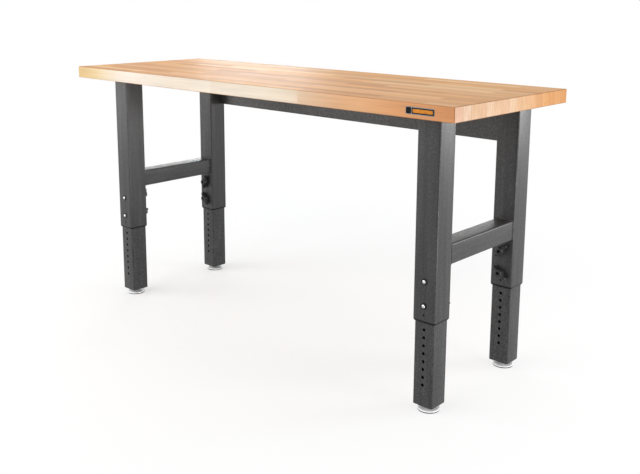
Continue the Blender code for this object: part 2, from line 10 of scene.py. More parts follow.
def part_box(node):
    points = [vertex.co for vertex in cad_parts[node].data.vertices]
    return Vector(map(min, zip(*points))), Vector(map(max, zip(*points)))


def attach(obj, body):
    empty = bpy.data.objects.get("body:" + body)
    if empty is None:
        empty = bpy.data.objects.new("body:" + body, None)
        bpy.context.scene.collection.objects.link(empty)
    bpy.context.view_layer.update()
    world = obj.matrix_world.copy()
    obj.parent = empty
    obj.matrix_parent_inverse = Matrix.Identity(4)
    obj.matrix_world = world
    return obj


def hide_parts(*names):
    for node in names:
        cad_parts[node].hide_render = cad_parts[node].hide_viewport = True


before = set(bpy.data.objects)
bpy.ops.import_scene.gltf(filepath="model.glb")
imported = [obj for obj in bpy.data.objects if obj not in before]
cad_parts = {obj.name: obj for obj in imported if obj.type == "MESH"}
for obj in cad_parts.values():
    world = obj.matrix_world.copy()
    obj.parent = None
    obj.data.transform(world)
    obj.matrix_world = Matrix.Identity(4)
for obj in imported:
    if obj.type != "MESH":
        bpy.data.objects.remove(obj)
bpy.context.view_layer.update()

ROWS = {"front": -1, "rear": 1}
SIDES = ("left", "right")
LEVELS = ("lower", "upper")
CORNERS = [(row, side) for row in ROWS for side in SIDES]

# Camera, fitted to the photograph: angles in radians, lens and sensor in millimetres
CAMERA_PLACE = (2.1566, -2.1938, 1.2529)
CAMERA_YAW = 0.744
CAMERA_PITCH = 0.185
CAMERA_ROLL = 0.005
CAMERA_LENS = 47.55
CAMERA_SENSOR = 36.0
CAMERA_SHIFT_Y = -0.13

# Slab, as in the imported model
SLAB_LOW, SLAB_HIGH = (Vector(corner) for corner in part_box("worktop"))
SLAB_FRONT = SLAB_LOW.y
SLAB_DEPTH = SLAB_HIGH.y - SLAB_LOW.y
SLAB_END = SLAB_HIGH.x
SLAB_UNDERSIDE = SLAB_LOW.z
SLAB_TOP = SLAB_HIGH.z
FACE_TOLERANCE = 0.0004
# Width of the painted shade along the slab's edges
ARRIS_SHADE_WIDTH = 0.0026

# The slab's strips, the staves in them, and the growth rings on its ends
STRIP_WIDTH = 0.0397
STRIP_STAGGER = 17.37
STAVE_LENGTH = 0.42
STAVE_UNEVENNESS = 0.8
GLUE_LINE_WIDTH = 0.0011
GLUE_LINE_SHARE = 0.8
HEART_LEVEL = 0.942
HEART_SPREAD_ACROSS = 0.12
HEART_SPREAD_UP = 0.3
RING_WOBBLE = 0.003
RING_WOBBLES_PER_METRE = 60.0
RING_RADIANS_PER_METRE = 2400.0
END_FACE_SLOPE = 0.6

# Scales of the wood's figure, fibres, clouds, pores and flecks along X, Y and Z
FIGURE_SCALE = (1.6, 30.0, 30.0)
FIBRE_SCALE = (7.0, 420.0, 420.0)
WOOD_CLOUD_SCALE = (2.4, 8.0, 8.0)
PORE_SCALE = (40.0, 900.0, 900.0)
FLECK_SCALE = (1.0, 210.0, 16.0)
# How far the grain can jump from one stave to the next
GRAIN_JUMP = (9.0, 5.0, 7.0)
FIGURE_SHARE = 0.55
FIBRE_SHARE = 0.45
PORE_SHARE = 0.55
RING_SHARE = 0.3
# Roughness of the lacquer where the grain is dark and where it is pale, and how much more the ends have
LACQUER_ROUGHNESS = (0.42, 0.56)
END_ROUGHNESS_EXTRA = 0.24
WOOD_RELIEF = 0.0004

# Edges that bend less than this, in degrees, are shaded smooth
SMOOTH_BELOW = 32.0

# Tubes
UPPER_TUBE_WALL = 0.0032
UPPER_TUBE_CORNER = 0.0065
SLEEVE_END_INSET = 0.0036
SLEEVE_END_HEIGHT = 0.0075
SLEEVE_MOUTH_WIDTH = 0.0732
LOWER_TUBE_WALL = 0.003
LOWER_TUBE_CORNER = 0.006
LOWER_TUBE_EASE = 0.0008
CROSSBAR_WALL = 0.0025
CROSSBAR_CORNER = 0.005
INNER_CORNER_EXTRA = 0.001
MOUTH_CORNER_EXTRA = 0.0008
CORNER_STEPS = 6
TUBE_END_STEPS = 5

# Holes in the legs
HOLE_PITCH = 0.0254
FIRST_HOLE_HEIGHT = 0.069
LEG_HOLES = 16
LEG_HOLE_DIAMETER = 0.0105
SPARE_HOLE_DIAMETER = 0.0068
SPARE_HOLE_BELOW_BOLT = 0.0285
DRILL_LENGTH = 0.2
DRILL_SIDES = 24

# Weld beads at the crossbars' ends
WELD_RADIUS = 0.0025
WELD_ROOT = 0.0014
WELD_OVERLAP = 0.0005
WELD_STEP = 0.0016
WELD_ARC_STEPS = 6
WELD_RIPPLE = 0.0003
WELD_RIPPLE_TURN = 1.7
WELD_UNEVENNESS = 0.0004
WELD_LUMPS_PER_METRE = 60

# Gap between a bead, a washer or a knob and the face beside it
TOUCH_GAP = 0.0003

# Bolts
BOLT_RADIUS = 0.00475
BOLT_SHANK = 0.092
BOLT_END_CHAMFER = 0.001
BOLT_DOME_RADIUS = 0.0061
BOLT_DOME_HEIGHT = 0.0041
BOLT_DOME_RIM = 0.0008
BOLT_DOME_TIP_RADIUS = 0.0004
BOLT_DOME_STEPS = 8
BOLT_STEPS = 40
WASHER_RADIUS = 0.0104
WASHER_THICKNESS = 0.0013
WASHER_EASE_ACROSS = 0.0005
WASHER_EASE_UP = 0.0004

# Wing knobs. A section is its height, its wings' reach and half thickness, and the hub's radius
KNOB_SECTIONS = [
    (0.0000, 0.0100, 0.0030, 0.0122),
    (0.0006, 0.0100, 0.0030, 0.0130),
    (0.0014, 0.0160, 0.0036, 0.0133),
    (0.0022, 0.0225, 0.0042, 0.0134),
    (0.0036, 0.0272, 0.0046, 0.0134),
    (0.0056, 0.0302, 0.0047, 0.0134),
    (0.0080, 0.0316, 0.0047, 0.0133),
    (0.0110, 0.0319, 0.0046, 0.0132),
    (0.0140, 0.0314, 0.0045, 0.0131),
    (0.0164, 0.0300, 0.0044, 0.0130),
    (0.0182, 0.0276, 0.0043, 0.0129),
    (0.0196, 0.0238, 0.0041, 0.0128),
    (0.0206, 0.0190, 0.0037, 0.0127),
    (0.0212, 0.0140, 0.0030, 0.0127),
    (0.0226, 0.0100, 0.0024, 0.0126),
    (0.0235, 0.0095, 0.0022, 0.0121),
    (0.0240, 0.0090, 0.0020, 0.0112),
]
# The hole in the hub, from its rim down: radius and height
KNOB_HOLE = [(0.0072, 0.0240), (0.0066, 0.0234), (0.0054, 0.0232), (0.0054, 0.0)]
KNOB_BLEND = 5.0
KNOB_QUARTER_POINTS = 14
KNOB_TIP_CROWDING = 1.9
# How far each knob is turned about its bolt, in degrees
KNOB_TURNS = {
    ("front", "left", "lower"): 35.0,
    ("front", "left", "upper"): 60.0,
    ("front", "right", "lower"): -20.0,
    ("front", "right", "upper"): 70.0,
    ("rear", "left", "lower"): -58.0,
    ("rear", "left", "upper"): 76.0,
    ("rear", "right", "lower"): -38.0,
    ("rear", "right", "upper"): 45.0,
}

# Feet
PAD_RADIUS = 0.035
PAD_TOP = 0.0087
PAD_SEAM = 0.0031
PAD_HOLE_RADIUS = 0.0066
PAD_STEPS = 56
# Outlines of a pad's metal cup and of its plastic base: radius and height
PAD_CUP = [
    (0.0336, PAD_SEAM),
    (0.0345, 0.0032),
    (PAD_RADIUS, 0.0037),
    (PAD_RADIUS, 0.0055),
    (0.0347, 0.0064),
    (0.0338, 0.0073),
    (0.0322, 0.0078),
    (0.0290, 0.0080),
    (0.0150, 0.0082),
    (0.0125, 0.0084),
    (0.0112, PAD_TOP),
    (0.0076, PAD_TOP),
    (PAD_HOLE_RADIUS, 0.0080),
    (PAD_HOLE_RADIUS, PAD_SEAM),
]
PAD_BASE = [
    (0.0336, 0.0),
    (0.0344, 0.0005),
    (0.0348, 0.0014),
    (0.0348, PAD_SEAM),
    (PAD_HOLE_RADIUS, PAD_SEAM),
    (0.0020, PAD_SEAM),
]
STUD_RADIUS = 0.006
STUD_STEPS = 24
STUD_PLAIN_END = 0.007
STUD_LOWER_CHAMFER = 0.001
STUD_UPPER_CHAMFER = 0.0015
THREAD_END_GAP = 0.002
THREAD_PITCH = 0.00175
THREAD_DEPTH = 0.0006
# One turn of thread: share of the pitch, and depth
THREAD_OUTLINE = [(0.45, THREAD_DEPTH), (0.55, THREAD_DEPTH), (0.95, 0.0), (1.0, 0.0)]

# Plate on the front edge: a block at its left, and a framed field beside it
BADGE_CORNER = 0.003
BADGE_MARGIN = 0.0015
BADGE_BLOCK_WIDTH = 0.018
BADGE_BLOCK_CORNER = 0.0035
BADGE_SURROUND_SHIFT = 0.0100
BADGE_SURROUND_NARROWER = 0.0225
BADGE_SURROUND_MARGIN = 0.0021
BADGE_SURROUND_CORNER = 0.002
BADGE_FRAME = 0.0035
BADGE_FIELD_CORNER = 0.0012
# Shares of the plate's depth where its layers start and end
BADGE_PLATE_FRONT = 0.6
BADGE_PANELS_BACK = 0.5
BADGE_SURROUND_FRONT = 0.85
BADGE_FIELD_BACK = 0.8
PANEL_EASE = 0.0002

# Wood tints
STAVE_TINTS = [
    (0.0, (0.53, 0.215, 0.055)),
    (0.2, (0.70, 0.345, 0.105)),
    (0.4, (0.77, 0.415, 0.175)),
    (0.6, (0.78, 0.385, 0.105)),
    (0.8, (0.60, 0.27, 0.080)),
    (1.0, (0.87, 0.55, 0.250)),
]
# The front edge, from cream at the left to orange at the right: partly the staves' own tone, partly painted
# light that falls off from the left to the right
FRONT_TINTS_AND_PAINTED_LIGHT = [
    (0.0, (0.81, 0.56, 0.22)),
    (0.07, (0.86, 0.64, 0.33)),
    (0.16, (0.99, 0.88, 0.76)),
    (0.60, (1.0, 0.865, 0.69)),
    (0.67, (1.0, 0.82, 0.63)),
    (0.69, (0.96, 0.70, 0.48)),
    (0.79, (0.96, 0.53, 0.265)),
    (0.90, (0.89, 0.41, 0.160)),
    (1.0, (0.82, 0.340, 0.120)),
]
# The right end, from the front to the back, and what its strips and flecks do to that; the pale front part
# is partly painted highlight, partly the end grain's own tone
END_TINTS_AND_PAINTED_HIGHLIGHT = [
    (0.0, (0.91, 0.61, 0.455)),
    (0.18, (0.87, 0.60, 0.42)),
    (0.45, (0.83, 0.575, 0.40)),
    (0.7, (0.73, 0.40, 0.185)),
    (0.85, (0.65, 0.30, 0.103)),
    (1.0, (0.58, 0.25, 0.075)),
]
END_TINT_SHARE = 0.85
BLOCK_TINTS = [
    (0.0, (0.95, 0.89, 0.83)),
    (0.35, (0.99, 0.97, 0.95)),
    (0.6, (1.01, 1.04, 0.98)),
    (0.8, (1.04, 1.12, 1.16)),
    (1.0, (0.98, 0.94, 0.92)),
]
FLECK_TINTS = [
    (0.34, (0.93, 0.84, 0.74)),
    (0.50, (1.0, 0.99, 0.98)),
    (0.66, (1.05, 1.14, 1.24)),
]
GRAIN_SHADES = [(0.25, 0.70), (0.43, 0.92), (0.58, 1.04), (0.8, 0.95)]
BROAD_TINTS = [(0.3, (0.92, 0.87, 0.82)), (0.55, (1.0, 1.0, 1.0))]
GLUE_SHADES = [(0.0, 0.62), (0.5, 0.90), (1.0, 1.0)]
# Painted shade along the slab's eased edges, darkest right on the edge
ARRIS_SHADE_TINTS = [
    (0.0, (0.50, 0.40, 0.32)),
    (0.45, (0.66, 0.57, 0.50)),
    (1.0, (1.0, 1.0, 1.0)),
]

# Paint, and the streaks' scales along X, Y and Z
PAINT_GREY = (0.031, 0.031, 0.032)
BEAM_GREY = (0.047, 0.048, 0.049)
WORN_GREY = (0.19, 0.19, 0.195)
# Painted shade on a sleeve's turned-in rim
MOUTH_SHADE_BLACK = (0.011, 0.011, 0.011)
PAINT_METALLIC = 0.15
PAINT_DIMPLES_PER_METRE = 300.0
PAINT_MOTTLES_PER_METRE = 185.0
PAINT_PEEL_PER_METRE = 900.0
PAINT_CLOUDS_PER_METRE = 5.0
PAINT_DIMPLE_DEPTH = 0.0006
PAINT_PEEL_DEPTH = 0.0002
MOTTLE_SHADES = [(0.38, 0.52), (0.5, 0.96), (0.62, 1.8)]
STREAK_SHADES = [(0.3, 0.68), (0.7, 1.3)]
CLOUD_SHADES = [(0.3, 0.94), (0.7, 1.05)]
SCUFF_SHARES = [(0.60, 0.0), (0.74, 1.0)]
# Where the painted shade fades out up a sleeve's rounded rim
MOUTH_SHADE_SHARES = [(0.75, 1.0), (1.0, 0.0)]
BEAM_STREAKS = (4.0, 40.0, 40.0)
BAR_STREAKS = (60.0, 3.0, 60.0)
LEG_STREAKS = (70.0, 70.0, 5.0)
SLEEVE_STREAKS = (60.0, 60.0, 3.0)
SCUFF_SCALE = (700.0, 700.0, 12.0)

# Metal and plastic
SCRATCH_SCALE = (1500.0, 1500.0, 90.0)
SCRATCH_DEPTH = 0.0001
SPANGLES_PER_METRE = 220.0
DUST_PER_METRE = 90.0
PLASTIC_GRAIN_PER_METRE = 1400.0
PLASTIC_GRAIN_DEPTH = 0.0002
ZINC = (0.58, 0.59, 0.61)
# Painted light: the pad is nearly white, so it shows bright though shaded under its tube
PAD_ZINC_AND_PAINTED_LIGHT = (0.90, 0.90, 0.90)
# Painted shade: the washer is near black, for the dark ring of shade round each bolt's bright dome
WASHER_STEEL_AND_PAINTED_SHADE = (0.008, 0.008, 0.008)
RIM_STEEL = (0.21, 0.21, 0.22)
PLASTIC_BLACK = (0.016, 0.016, 0.017)
PAD_BASE_BLACK = (0.02, 0.02, 0.02)
BADGE_BLACK = (0.006, 0.006, 0.007)
BADGE_ORANGE = (0.46, 0.16, 0.010)

# Studio. The floor is pale and shows a soft shadow near the bench, and turns plain white further off
WHITE = (1.0, 1.0, 1.0)
COOL_WHITE = (0.80, 0.93, 1.0)
WORLD_LIGHT = 0.54
FLOOR_HALF_WIDTH = 20.0
FLOOR_PALE = 0.93
FLOOR_BOUNCE = 0.56
FLOOR_WHITE_NEAR = 0.52
FLOOR_NEAR = 0.8
FLOOR_FAR = 2.0
SHADOW_MIDDLE = (-0.55, 0.1, 0.0)
# Angle of a lamp that lights one narrow place, in radians
NARROW_CONE = 0.7


# Node helpers
def new_material(name):
    material = bpy.data.materials.new(name)
    material.use_nodes = True
    return material, material.node_tree, material.node_tree.nodes["Principled BSDF"]


def add(tree, kind, inputs=None, **settings):
    """Add a node; an input's value is a number, a colour or another node's output."""
    node = tree.nodes.new(kind)
    for key, value in settings.items():
        setattr(node, key, value)
    for key, value in (inputs or {}).items():
        if isinstance(value, bpy.types.NodeSocket):
            tree.links.new(value, node.inputs[key])
        else:
            node.inputs[key].default_value = value
    return node


def calc(tree, operation, first, second=0.0, third=0.0):
    return add(tree, "ShaderNodeMath", {0: first, 1: second, 2: third}, operation=operation).outputs[0]


def spread(tree, value, low, high, out_low, out_high):
    """Map low to high onto out_low to out_high, and hold it there."""
    inputs = {0: value, 1: low, 2: high, 3: out_low, 4: out_high}
    return add(tree, "ShaderNodeMapRange", inputs).outputs[0]


def ramp(tree, factor, stops):
    """A colour ramp; a stop's colour is three numbers, or one number for a grey."""
    node = add(tree, "ShaderNodeValToRGB", {0: factor})
    elements = node.color_ramp.elements
    while len(elements) < len(stops):
        elements.new(0.5)
    for element, (position, colour) in zip(elements, stops):
        element.position = position
        element.color = (*colour, 1.0) if isinstance(colour, tuple) else (colour, colour, colour, 1.0)
    return node.outputs[0]


def blend(tree, factor, first, second, mode="MIX"):
    node = add(tree, "ShaderNodeMix", data_type="RGBA", blend_type=mode)
    for index, value in ((0, factor), (6, first), (7, second)):
        if isinstance(value, bpy.types.NodeSocket):
            tree.links.new(value, node.inputs[index])
        elif index == 0:
            node.inputs[index].default_value = value
        else:
            node.inputs[index].default_value = (*value, 1.0)
    return node.outputs[2]


def shaded(tree, base, factor, stops, share=1.0):
    """A colour multiplied by a ramp."""
    return blend(tree, share, base, ramp(tree, factor, stops), "MULTIPLY")


def object_place(tree):
    return add(tree, "ShaderNodeTexCoord").outputs["Object"]


def split(tree, vector):
    return add(tree, "ShaderNodeSeparateXYZ", {0: vector}).outputs


def split_colour(tree, colour):
    return add(tree, "ShaderNodeSeparateColor", {0: colour}).outputs


def stretched(tree, vector, scale):
    return add(tree, "ShaderNodeMapping", {"Vector": vector, "Scale": scale}).outputs[0]


def noise(tree, vector, scale, detail=3.0, roughness=0.5, distortion=0.0):
    return add(tree, "ShaderNodeTexNoise", {
        "Vector": vector, "Scale": scale, "Detail": detail, "Roughness": roughness,
        "Distortion": distortion}).outputs[0]


def bump(tree, height, strength, distance, normal=None):
    inputs = {"Height": height, "Strength": strength, "Distance": distance}
    if normal is not None:
        inputs["Normal"] = normal
    return add(tree, "ShaderNodeBump", inputs).outputs[0]


# Wood
def staves_of(tree, x, strip):
    """Three random numbers for the stave at a point, and how far the point is from the stave's end."""
    along = calc(tree, "MULTIPLY_ADD", strip, STRIP_STAGGER, calc(tree, "DIVIDE", x, STAVE_LENGTH))
    inputs = {"W": along, "Scale": 1.0, "Randomness": STAVE_UNEVENNESS}
    stave, joint = (
        add(tree, "ShaderNodeTexVoronoi", inputs, voronoi_dimensions="1D", feature=feature)
        for feature in ("F1", "DISTANCE_TO_EDGE"))
    from_joint = calc(tree, "MULTIPLY", joint.outputs["Distance"], STAVE_LENGTH)
    return split_colour(tree, stave.outputs["Color"]), from_joint


def stave_tint(tree, place, x, across, tint, block_tint):
    """Each stave's tint; the slab's front edge and right end have their own, which change along them and
    also carry painted light: brighter at the front edge's left and at the end's front.
    """
    base = ramp(tree, tint, STAVE_TINTS)
    # Partly painted light: the front edge is paler at the left, where more light falls
    front = ramp(tree, spread(tree, x, -SLAB_END, SLAB_END, 0.0, 1.0), FRONT_TINTS_AND_PAINTED_LIGHT)
    base = blend(tree, calc(tree, "LESS_THAN", across, FACE_TOLERANCE), base, front)
    # Partly painted highlight: the right end is paler towards the front
    end = ramp(tree, spread(tree, across, 0.0, SLAB_DEPTH, 0.0, 1.0), END_TINTS_AND_PAINTED_HIGHLIGHT)
    end = shaded(tree, end, block_tint, BLOCK_TINTS)
    flecks = noise(tree, stretched(tree, place, FLECK_SCALE), 1.0, 3.0, 0.6, 0.3)
    end = shaded(tree, end, flecks, FLECK_TINTS)
    right_end = calc(tree, "GREATER_THAN", x, SLAB_END - FACE_TOLERANCE)
    return blend(tree, calc(tree, "MULTIPLY", right_end, END_TINT_SHARE), base, end)


def end_grain_of(tree, place, z, strip, in_strip):
    """Pores, and growth rings about a heart below or above each strip."""
    heart = add(tree, "ShaderNodeTexWhiteNoise", {"W": strip}, noise_dimensions="1D")
    heart_across, heart_up, _ = split_colour(tree, heart.outputs["Color"])
    heart_y = calc(tree, "MULTIPLY_ADD", heart_across, HEART_SPREAD_ACROSS, -HEART_SPREAD_ACROSS / 2)
    heart_z = calc(tree, "MULTIPLY_ADD", heart_up, HEART_SPREAD_UP, HEART_LEVEL - HEART_SPREAD_UP / 2)
    from_heart = add(tree, "ShaderNodeCombineXYZ", {
        0: calc(tree, "SUBTRACT", in_strip, heart_y), 1: calc(tree, "SUBTRACT", z, heart_z)}).outputs[0]
    radius = add(tree, "ShaderNodeVectorMath", {0: from_heart}, operation="LENGTH").outputs["Value"]
    wobble = noise(tree, place, RING_WOBBLES_PER_METRE, 2.0)
    wobbly = calc(tree, "MULTIPLY_ADD", wobble, RING_WOBBLE, radius)
    wave = calc(tree, "SINE", calc(tree, "MULTIPLY", wobbly, RING_RADIANS_PER_METRE))
    rings = calc(tree, "MULTIPLY_ADD", wave, 0.5, 0.5)
    pores = noise(tree, stretched(tree, place, PORE_SCALE), 1.0, 2.0, 0.7)
    return calc(tree, "MULTIPLY_ADD", pores, PORE_SHARE, calc(tree, "MULTIPLY", rings, RING_SHARE))


def glue_line(tree, in_strip, from_joint):
    """0 on the glue lines between strips and at the staves' ends, 1 and more beside them."""
    from_edge = calc(tree, "MINIMUM", in_strip, calc(tree, "SUBTRACT", STRIP_WIDTH, in_strip))
    return calc(tree, "DIVIDE", calc(tree, "MINIMUM", from_edge, from_joint), GLUE_LINE_WIDTH)


def arris(tree, x, across, z):
    """0 on the slab's edges, 1 and more where the painted shade along the eased edges ends."""
    from_end = calc(tree, "SUBTRACT", SLAB_END, calc(tree, "ABSOLUTE", x))
    from_side = calc(tree, "MINIMUM", across, calc(tree, "SUBTRACT", SLAB_DEPTH, across))
    from_top = calc(tree, "SUBTRACT", SLAB_TOP, z)
    from_face = calc(tree, "MINIMUM", from_top, calc(tree, "SUBTRACT", z, SLAB_UNDERSIDE))
    closest = calc(tree, "MINIMUM", from_end, from_side)
    second = calc(tree, "MINIMUM", calc(tree, "MAXIMUM", from_end, from_side), from_face)
    return calc(tree, "DIVIDE", calc(tree, "MAXIMUM", closest, second), ARRIS_SHADE_WIDTH)


def wood_material():
    """Strip-glued hardwood: staves of several tints along X, end grain on the slab's ends."""
    material, tree, shader = new_material("butcher_block")
    place = object_place(tree)
    x, y, z = split(tree, place)
    across = calc(tree, "SUBTRACT", y, SLAB_FRONT)
    strip = calc(tree, "FLOOR", calc(tree, "DIVIDE", across, STRIP_WIDTH))
    in_strip = calc(tree, "SUBTRACT", across, calc(tree, "MULTIPLY", strip, STRIP_WIDTH))
    (tint, shift, figure_shift), from_joint = staves_of(tree, x, strip)
    offset = add(tree, "ShaderNodeCombineXYZ", {
        axis: calc(tree, "MULTIPLY", random, jump)
        for axis, (random, jump) in enumerate(zip((shift, figure_shift, tint), GRAIN_JUMP))}).outputs[0]
    moved = add(tree, "ShaderNodeVectorMath", {0: place, 1: offset}, operation="ADD").outputs[0]
    # Growth figure and fibres, drawn out along the stave, and broad clouds of colour
    figure = noise(tree, stretched(tree, moved, FIGURE_SCALE), 1.0, 3.0, 0.55, 0.8)
    fibres = noise(tree, stretched(tree, moved, FIBRE_SCALE), 1.0, 4.0, 0.6)
    broad = noise(tree, stretched(tree, moved, WOOD_CLOUD_SCALE), 1.0, 2.0, 0.5)
    figure_part = calc(tree, "MULTIPLY", figure, FIGURE_SHARE)
    long_grain = calc(tree, "MULTIPLY_ADD", fibres, FIBRE_SHARE, figure_part)
    end_grain = end_grain_of(tree, place, z, strip, in_strip)
    sideways = split(tree, add(tree, "ShaderNodeTexCoord").outputs["Normal"])[0]
    end_face = calc(tree, "GREATER_THAN", calc(tree, "ABSOLUTE", sideways), END_FACE_SLOPE)
    grain = add(tree, "ShaderNodeMix", {0: end_face, 2: long_grain, 3: end_grain}).outputs[0]
    coloured = stave_tint(tree, place, x, across, tint, figure_shift)
    coloured = shaded(tree, coloured, grain, GRAIN_SHADES)
    coloured = shaded(tree, coloured, broad, BROAD_TINTS)
    coloured = shaded(tree, coloured, glue_line(tree, in_strip, from_joint), GLUE_SHADES, GLUE_LINE_SHARE)
    # Painted shade: a dark line along the slab's eased edges
    coloured = shaded(tree, coloured, arris(tree, x, across, z), ARRIS_SHADE_TINTS)
    tree.links.new(coloured, shader.inputs["Base Color"])
    lacquer = spread(tree, long_grain, 0.2, 0.8, *LACQUER_ROUGHNESS)
    rough = calc(tree, "MULTIPLY_ADD", end_face, END_ROUGHNESS_EXTRA, lacquer)
    tree.links.new(rough, shader.inputs["Roughness"])
    shader.inputs["Specular IOR Level"].default_value = 0.35
    tree.links.new(bump(tree, grain, 0.25, WOOD_RELIEF), shader.inputs["Normal"])
    return material


# Other finishes
def paint_material(name, run, mottling=1.0, streaks=1.0, wear=0.0, mouth=None, colour=PAINT_GREY):
    """Hammered powder coat: shallow dimples, a fine orange peel and faint streaks along the tube.

    run scales the streaks, small along the tube; mouth is the height of a sleeve's lower end,
    whose turned-in rim gets painted shade: near black and fully metallic, a dark line under the sleeve.
    """
    material, tree, shader = new_material(name)
    place = object_place(tree)
    cells = add(tree, "ShaderNodeTexVoronoi", {
        "Vector": place, "Scale": PAINT_DIMPLES_PER_METRE, "Smoothness": 0.8}, feature="SMOOTH_F1")
    mottle = noise(tree, place, PAINT_MOTTLES_PER_METRE, 4.0, 0.65)
    streak = noise(tree, stretched(tree, place, run), 1.0, 3.0, 0.6)
    cloud = noise(tree, place, PAINT_CLOUDS_PER_METRE, 2.0, 0.5)
    base = shaded(tree, colour, mottle, MOTTLE_SHADES, mottling)
    base = shaded(tree, base, streak, STREAK_SHADES, streaks)
    base = shaded(tree, base, cloud, CLOUD_SHADES)
    if wear > 0.0:
        scuff = noise(tree, stretched(tree, place, SCUFF_SCALE), 1.0, 5.0, 0.7)
        worn = ramp(tree, scuff, SCUFF_SHARES)
        base = blend(tree, calc(tree, "MULTIPLY", worn, wear), base, WORN_GREY)
    if mouth is None:
        shader.inputs["Metallic"].default_value = PAINT_METALLIC
    else:
        # Painted shade: a near-black, fully metallic band on the sleeve's turned-in rim, where shade falls
        # under the sleeve
        above = spread(tree, split(tree, place)[2], mouth, mouth + SLEEVE_END_HEIGHT, 0.0, 1.0)
        mouth_shade = ramp(tree, above, MOUTH_SHADE_SHARES)
        base = blend(tree, mouth_shade, base, MOUTH_SHADE_BLACK)
        tree.links.new(spread(tree, mouth_shade, 0.0, 1.0, PAINT_METALLIC, 1.0), shader.inputs["Metallic"])
    tree.links.new(base, shader.inputs["Base Color"])
    tree.links.new(spread(tree, mottle, 0.3, 0.7, 0.48, 0.34), shader.inputs["Roughness"])
    shader.inputs["Specular IOR Level"].default_value = 0.42
    dimples = bump(tree, cells.outputs["Distance"], 0.15 + 0.25 * mottling, PAINT_DIMPLE_DEPTH)
    peel = noise(tree, place, PAINT_PEEL_PER_METRE, 3.0, 0.6)
    tree.links.new(bump(tree, peel, 0.12, PAINT_PEEL_DEPTH, dimples), shader.inputs["Normal"])
    return material


def steel_material(name, colour, roughness, metallic=1.0):
    """Plated or brushed steel with fine scratches and faint clouding."""
    material, tree, shader = new_material(name)
    place = object_place(tree)
    spangle = noise(tree, place, SPANGLES_PER_METRE, 3.0, 0.6)
    scratch = noise(tree, stretched(tree, place, SCRATCH_SCALE), 1.0, 3.0, 0.6)
    dim = tuple(0.82 * part for part in colour)
    tree.links.new(ramp(tree, spangle, [(0.3, dim), (0.7, colour)]), shader.inputs["Base Color"])
    rough = spread(tree, scratch, 0.3, 0.7, roughness - 0.07, roughness + 0.1)
    tree.links.new(rough, shader.inputs["Roughness"])
    shader.inputs["Metallic"].default_value = metallic
    tree.links.new(bump(tree, scratch, 0.08, SCRATCH_DEPTH), shader.inputs["Normal"])
    return material


def plastic_material(name, colour, roughness=0.42, gloss=0.3):
    """Moulded plastic with a fine spark-eroded grain and a little dust in it."""
    material, tree, shader = new_material(name)
    place = object_place(tree)
    dust = noise(tree, place, DUST_PER_METRE, 3.0, 0.6)
    pale = tuple(1.5 * part for part in colour)
    tree.links.new(ramp(tree, dust, [(0.35, colour), (0.75, pale)]), shader.inputs["Base Color"])
    rough = spread(tree, dust, 0.3, 0.7, roughness - 0.06, roughness + 0.08)
    tree.links.new(rough, shader.inputs["Roughness"])
    shader.inputs["Specular IOR Level"].default_value = gloss
    grain = noise(tree, place, PLASTIC_GRAIN_PER_METRE, 2.0, 0.6)
    tree.links.new(bump(tree, grain, 0.2, PLASTIC_GRAIN_DEPTH), shader.inputs["Normal"])
    return material


def seen_directly(tree):
    """1 for a ray from the camera or a mirror image, 0 for light that bounces on."""
    seen = add(tree, "ShaderNodeLightPath").outputs
    return calc(tree, "MAXIMUM", seen["Is Camera Ray"], seen["Is Glossy Ray"])


def floor_material():
    """A pale floor: white to the camera but for the bench's soft shadow, and duller as a light source."""
    material, tree, shader = new_material("studio_floor")
    tree.nodes.remove(shader)
    distance = add(tree, "ShaderNodeVectorMath", {
        0: object_place(tree), 1: SHADOW_MIDDLE}, operation="DISTANCE").outputs["Value"]
    white_share = add(tree, "ShaderNodeMapRange", {
        0: distance, 1: FLOOR_NEAR, 2: FLOOR_FAR, 3: FLOOR_WHITE_NEAR, 4: 1.0},
        interpolation_type="SMOOTHSTEP").outputs[0]
    pale, dull = (
        add(tree, "ShaderNodeBsdfDiffuse", {"Color": (grey, grey, grey, 1.0)}).outputs[0]
        for grey in (FLOOR_PALE, FLOOR_BOUNCE))
    white = add(tree, "ShaderNodeEmission", {"Color": (*WHITE, 1.0), "Strength": 1.0}).outputs[0]
    shown = add(tree, "ShaderNodeMixShader", {0: white_share, 1: pale, 2: white}).outputs[0]
    mixed = add(tree, "ShaderNodeMixShader", {0: seen_directly(tree), 1: dull, 2: shown}).outputs[0]
    tree.links.new(mixed, tree.nodes["Material Output"].inputs["Surface"])
    return material


# Mesh helpers
def rounded_outline(width, depth, radius):
    points = []
    for quarter, (side_x, side_y) in enumerate(((1, 1), (-1, 1), (-1, -1), (1, -1))):
        centre_x = side_x * (width / 2 - radius)
        centre_y = side_y * (depth / 2 - radius)
        for step in range(CORNER_STEPS + 1):
            angle = math.pi / 2 * (quarter + step / CORNER_STEPS)
            points.append((centre_x + radius * math.cos(angle), centre_y + radius * math.sin(angle)))
    return points


def rounded_square(width, radius, height):
    return ring_at(rounded_outline(width, width, radius), height)


def circle(radius, steps):
    angles = (2 * math.pi * step / steps for step in range(steps))
    return [(radius * math.cos(angle), radius * math.sin(angle)) for angle in angles]


def ring_at(outline, height):
    return [(x, y, height) for x, y in outline]


def loft(name, rings, closed=False):
    """Skin between rings of points; closed joins the last ring to the first, otherwise both get a cap."""
    skin = bmesh.new()
    loops = [[skin.verts.new(point) for point in ring] for ring in rings]
    pairs = list(zip(loops, loops[1:]))
    if closed:
        pairs.append((loops[-1], loops[0]))
    for low, high in pairs:
        count = len(low)
        for index in range(count):
            after = (index + 1) % count
            skin.faces.new((low[index], low[after], high[after], high[index]))
    if not closed:
        skin.faces.new(loops[0])
        skin.faces.new(loops[-1])
    bmesh.ops.recalc_face_normals(skin, faces=skin.faces)
    mesh = bpy.data.meshes.new(name)
    skin.to_mesh(mesh)
    skin.free()
    return mesh


def turned(name, profile, steps, closed=False):
    """A solid of revolution about Z from radii and heights; closed makes it a hollow ring."""
    return loft(name, [ring_at(circle(radius, steps), height) for radius, height in profile], closed)


